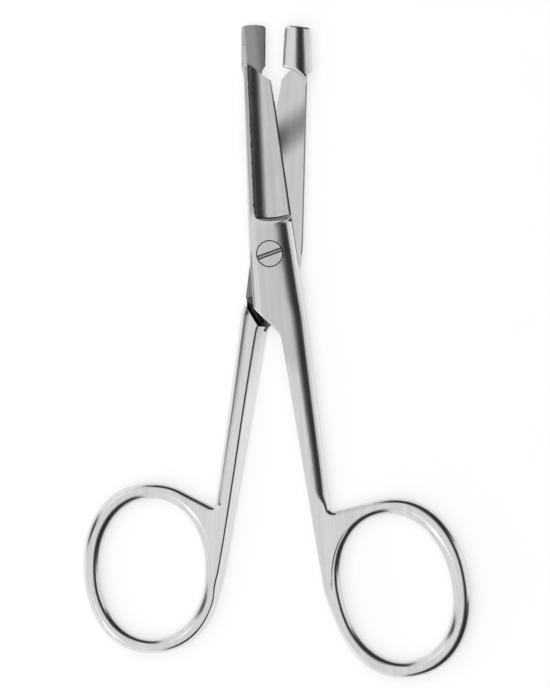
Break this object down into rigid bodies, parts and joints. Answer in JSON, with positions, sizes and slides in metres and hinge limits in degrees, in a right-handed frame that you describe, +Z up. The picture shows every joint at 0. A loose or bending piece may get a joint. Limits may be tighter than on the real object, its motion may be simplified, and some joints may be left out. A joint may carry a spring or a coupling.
{
  "type": "suture scissors",
  "caption": "Slim surgical scissors with finger rings, hollow-ground blades and knurled pads at the tips that hold the thread they cut.",
  "frame": {"origin": "on the hinge axis, at the height of the flat underside that the joint rests on", "axes": "+Y along the tool from the finger rings to the tips, +Z up out of the screw's slotted head, +X to the side of the front half's finger ring"},
  "size_m": [0.092, 0.155, 0.0048],
  "materials": {
    "polished_steel": "polished stainless steel with fine brushing along the length",
    "screw_steel": "turned stainless steel, ground flush with the joint"
  },
  "bodies": {
    "rear": {"rear_half": "polished_steel", "pivot_screw": "screw_steel"},
    "front": {"front_half": "polished_steel"}
  },
  "joints": [
    {"name": "pivot", "type": "hinge", "parent": "rear", "child": "front", "pos_m": [0, 0, 0], "axis": [0, 0, 1], "range_deg": [-7, 100]}
  ]
}
